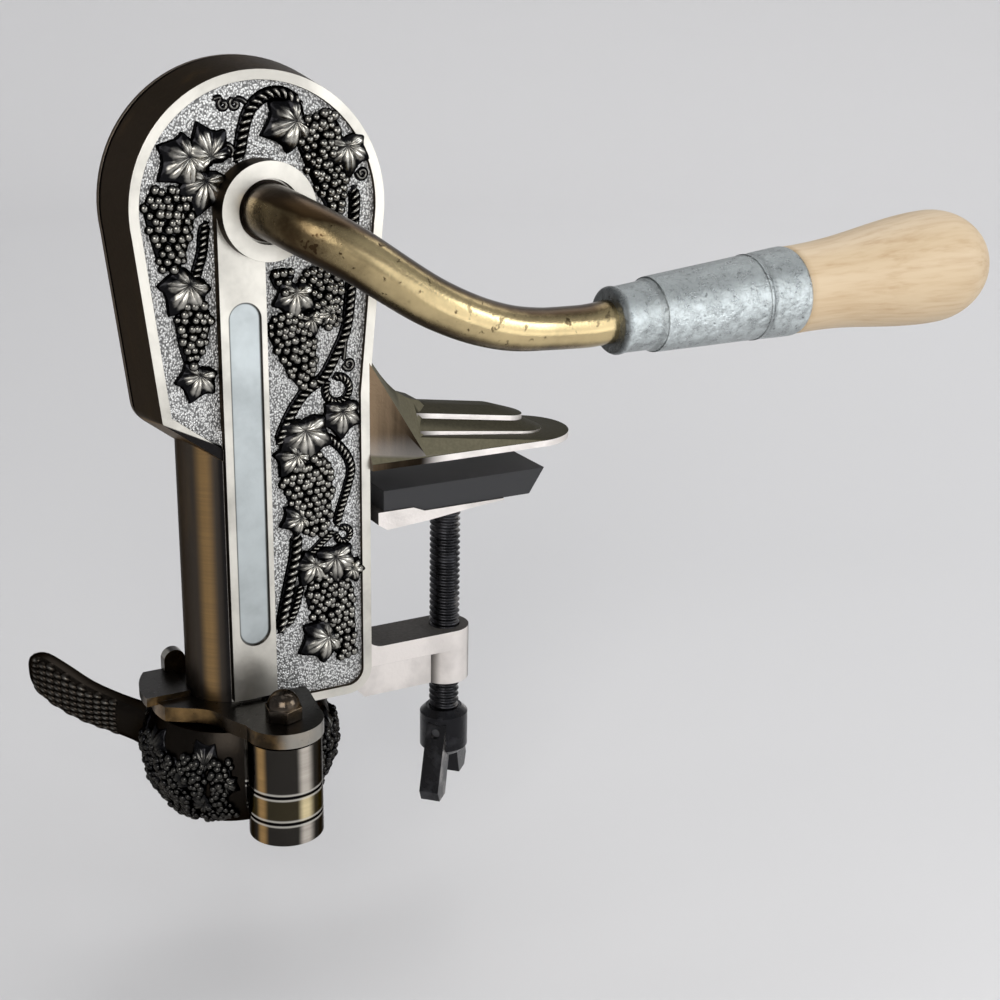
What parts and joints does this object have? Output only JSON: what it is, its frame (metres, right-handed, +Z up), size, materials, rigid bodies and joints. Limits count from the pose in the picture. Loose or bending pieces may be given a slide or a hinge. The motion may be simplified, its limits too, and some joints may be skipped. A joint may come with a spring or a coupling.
{
  "type": "countertop lever corkscrew",
  "caption": "Table-clamped lever corkscrew with a cast housing, hinged bottle jaws, a curved crank lever and a turned wooden grip.",
  "frame": {"origin": "middle of the foot's underside, on the table top", "axes": "+Z up, +X over the table, -Y the ornamented side with the lever"},
  "size_m": [0.2945, 0.1336, 0.2401],
  "materials": {
    "pewter": "worn satin plating over cast metal, dark in the hollows",
    "antique_bronze": "dark antique bronze, rubbed bright on edges",
    "antique_brass": "antique brass with brown patina",
    "bearing_bronze": "machined",
    "steel": "machined",
    "black_oxide": "black oxide",
    "galvanised": "mottled zinc coat",
    "birch": "bare turned wood, sanded",
    "pad_rubber": "matte"
  },
  "bodies": {
    "housing": {"main_housing": "pewter", "table_foot": "pewter", "clamp_arm": "pewter", "rear_cover": "antique_bronze", "cover_screws": "black_oxide", "shaft_bush": "bearing_bronze", "cover_bush": "bearing_bronze", "idler_axle": "steel", "pinion_axle": "steel", "spindle_nut": "bearing_bronze", "hinge_plate": "antique_bronze", "plate_screws": "black_oxide", "hinge_pin": "steel", "acorn_nut": "antique_bronze"},
    "lever": {"crank_shaft": "steel", "shaft_clip": "black_oxide", "drive_gear": "steel", "gear_key": "steel", "lever_arm": "antique_brass", "root_pin": "steel", "grip_ferrule": "galvanised", "wooden_grip": "birch"},
    "idler": {"idler_gear": "steel"},
    "pinion": {"rack_pinion": "steel"},
    "carriage": {"rack": "steel", "carriage": "steel", "rack_screws": "black_oxide"},
    "worm": {"spindle": "steel", "spindle_clip": "black_oxide", "worm": "steel", "worm_pin": "steel"},
    "front_jaw": {"front_jaw": "antique_bronze"},
    "back_jaw": {"back_jaw": "antique_bronze"},
    "clamp_plate": {"pressure_plate": "pewter", "plate_pad": "pad_rubber", "swivel_pin": "steel"},
    "clamp_screw": {"clamp_screw": "black_oxide", "wing_handle": "black_oxide", "wing_pin": "steel"}
  },
  "joints": [
    {"name": "lever_swing", "type": "hinge", "parent": "housing", "child": "lever", "pos_m": [-0.072, 0, 0.08], "axis": [0, -1, 0], "range_deg": [0, 140]},
    {"name": "idler_turn", "type": "hinge", "parent": "housing", "child": "idler", "pos_m": [-0.07491, -0.006, 0.0381], "axis": [0, -1, 0], "range_deg": [-141, 1]},
    {"name": "pinion_turn", "type": "hinge", "parent": "housing", "child": "pinion", "pos_m": [-0.06067, 0, 0.01], "axis": [0, -1, 0], "range_deg": [-1, 281]},
    {"name": "carriage_travel", "type": "slide", "parent": "housing", "child": "carriage", "axis": [0, 0, -1], "range_m": [-0.0001, 0.0514]},
    {"name": "worm_turn", "type": "hinge", "parent": "carriage", "child": "worm", "pos_m": [-0.0809, 0, 0], "axis": [0, 0, -1], "range_deg": [-1, 1849]},
    {"name": "front_jaw_swing", "type": "hinge", "parent": "housing", "child": "front_jaw", "pos_m": [-0.0757, -0.0298, -0.08825], "axis": [0, 0, 1], "range_deg": [0, 16]},
    {"name": "back_jaw_swing", "type": "hinge", "parent": "housing", "child": "back_jaw", "pos_m": [-0.0757, -0.0298, -0.08825], "axis": [0, 0, -1], "range_deg": [-8, 8]},
    {"name": "plate_travel", "type": "slide", "parent": "housing", "child": "clamp_plate", "axis": [0, 0, 1], "range_m": [-0.034, 0.008]},
    {"name": "screw_turn", "type": "hinge", "parent": "clamp_plate", "child": "clamp_screw", "pos_m": [-0.007, 0, -0.06], "axis": [0, 0, 1], "range_deg": [-6120, 1440]}
  ],
  "couplings": [
    {"joint": "idler_turn", "follows": "lever_swing", "ratio": -1},
    {"joint": "pinion_turn", "follows": "lever_swing", "ratio": 2},
    {"joint": "carriage_travel", "follows": "lever_swing", "m_per_rad": 0.021},
    {"joint": "worm_turn", "follows": "lever_swing", "ratio": 13.195},
    {"joint": "screw_turn", "follows": "plate_travel", "rad_per_m": 3141.6}
  ]
}
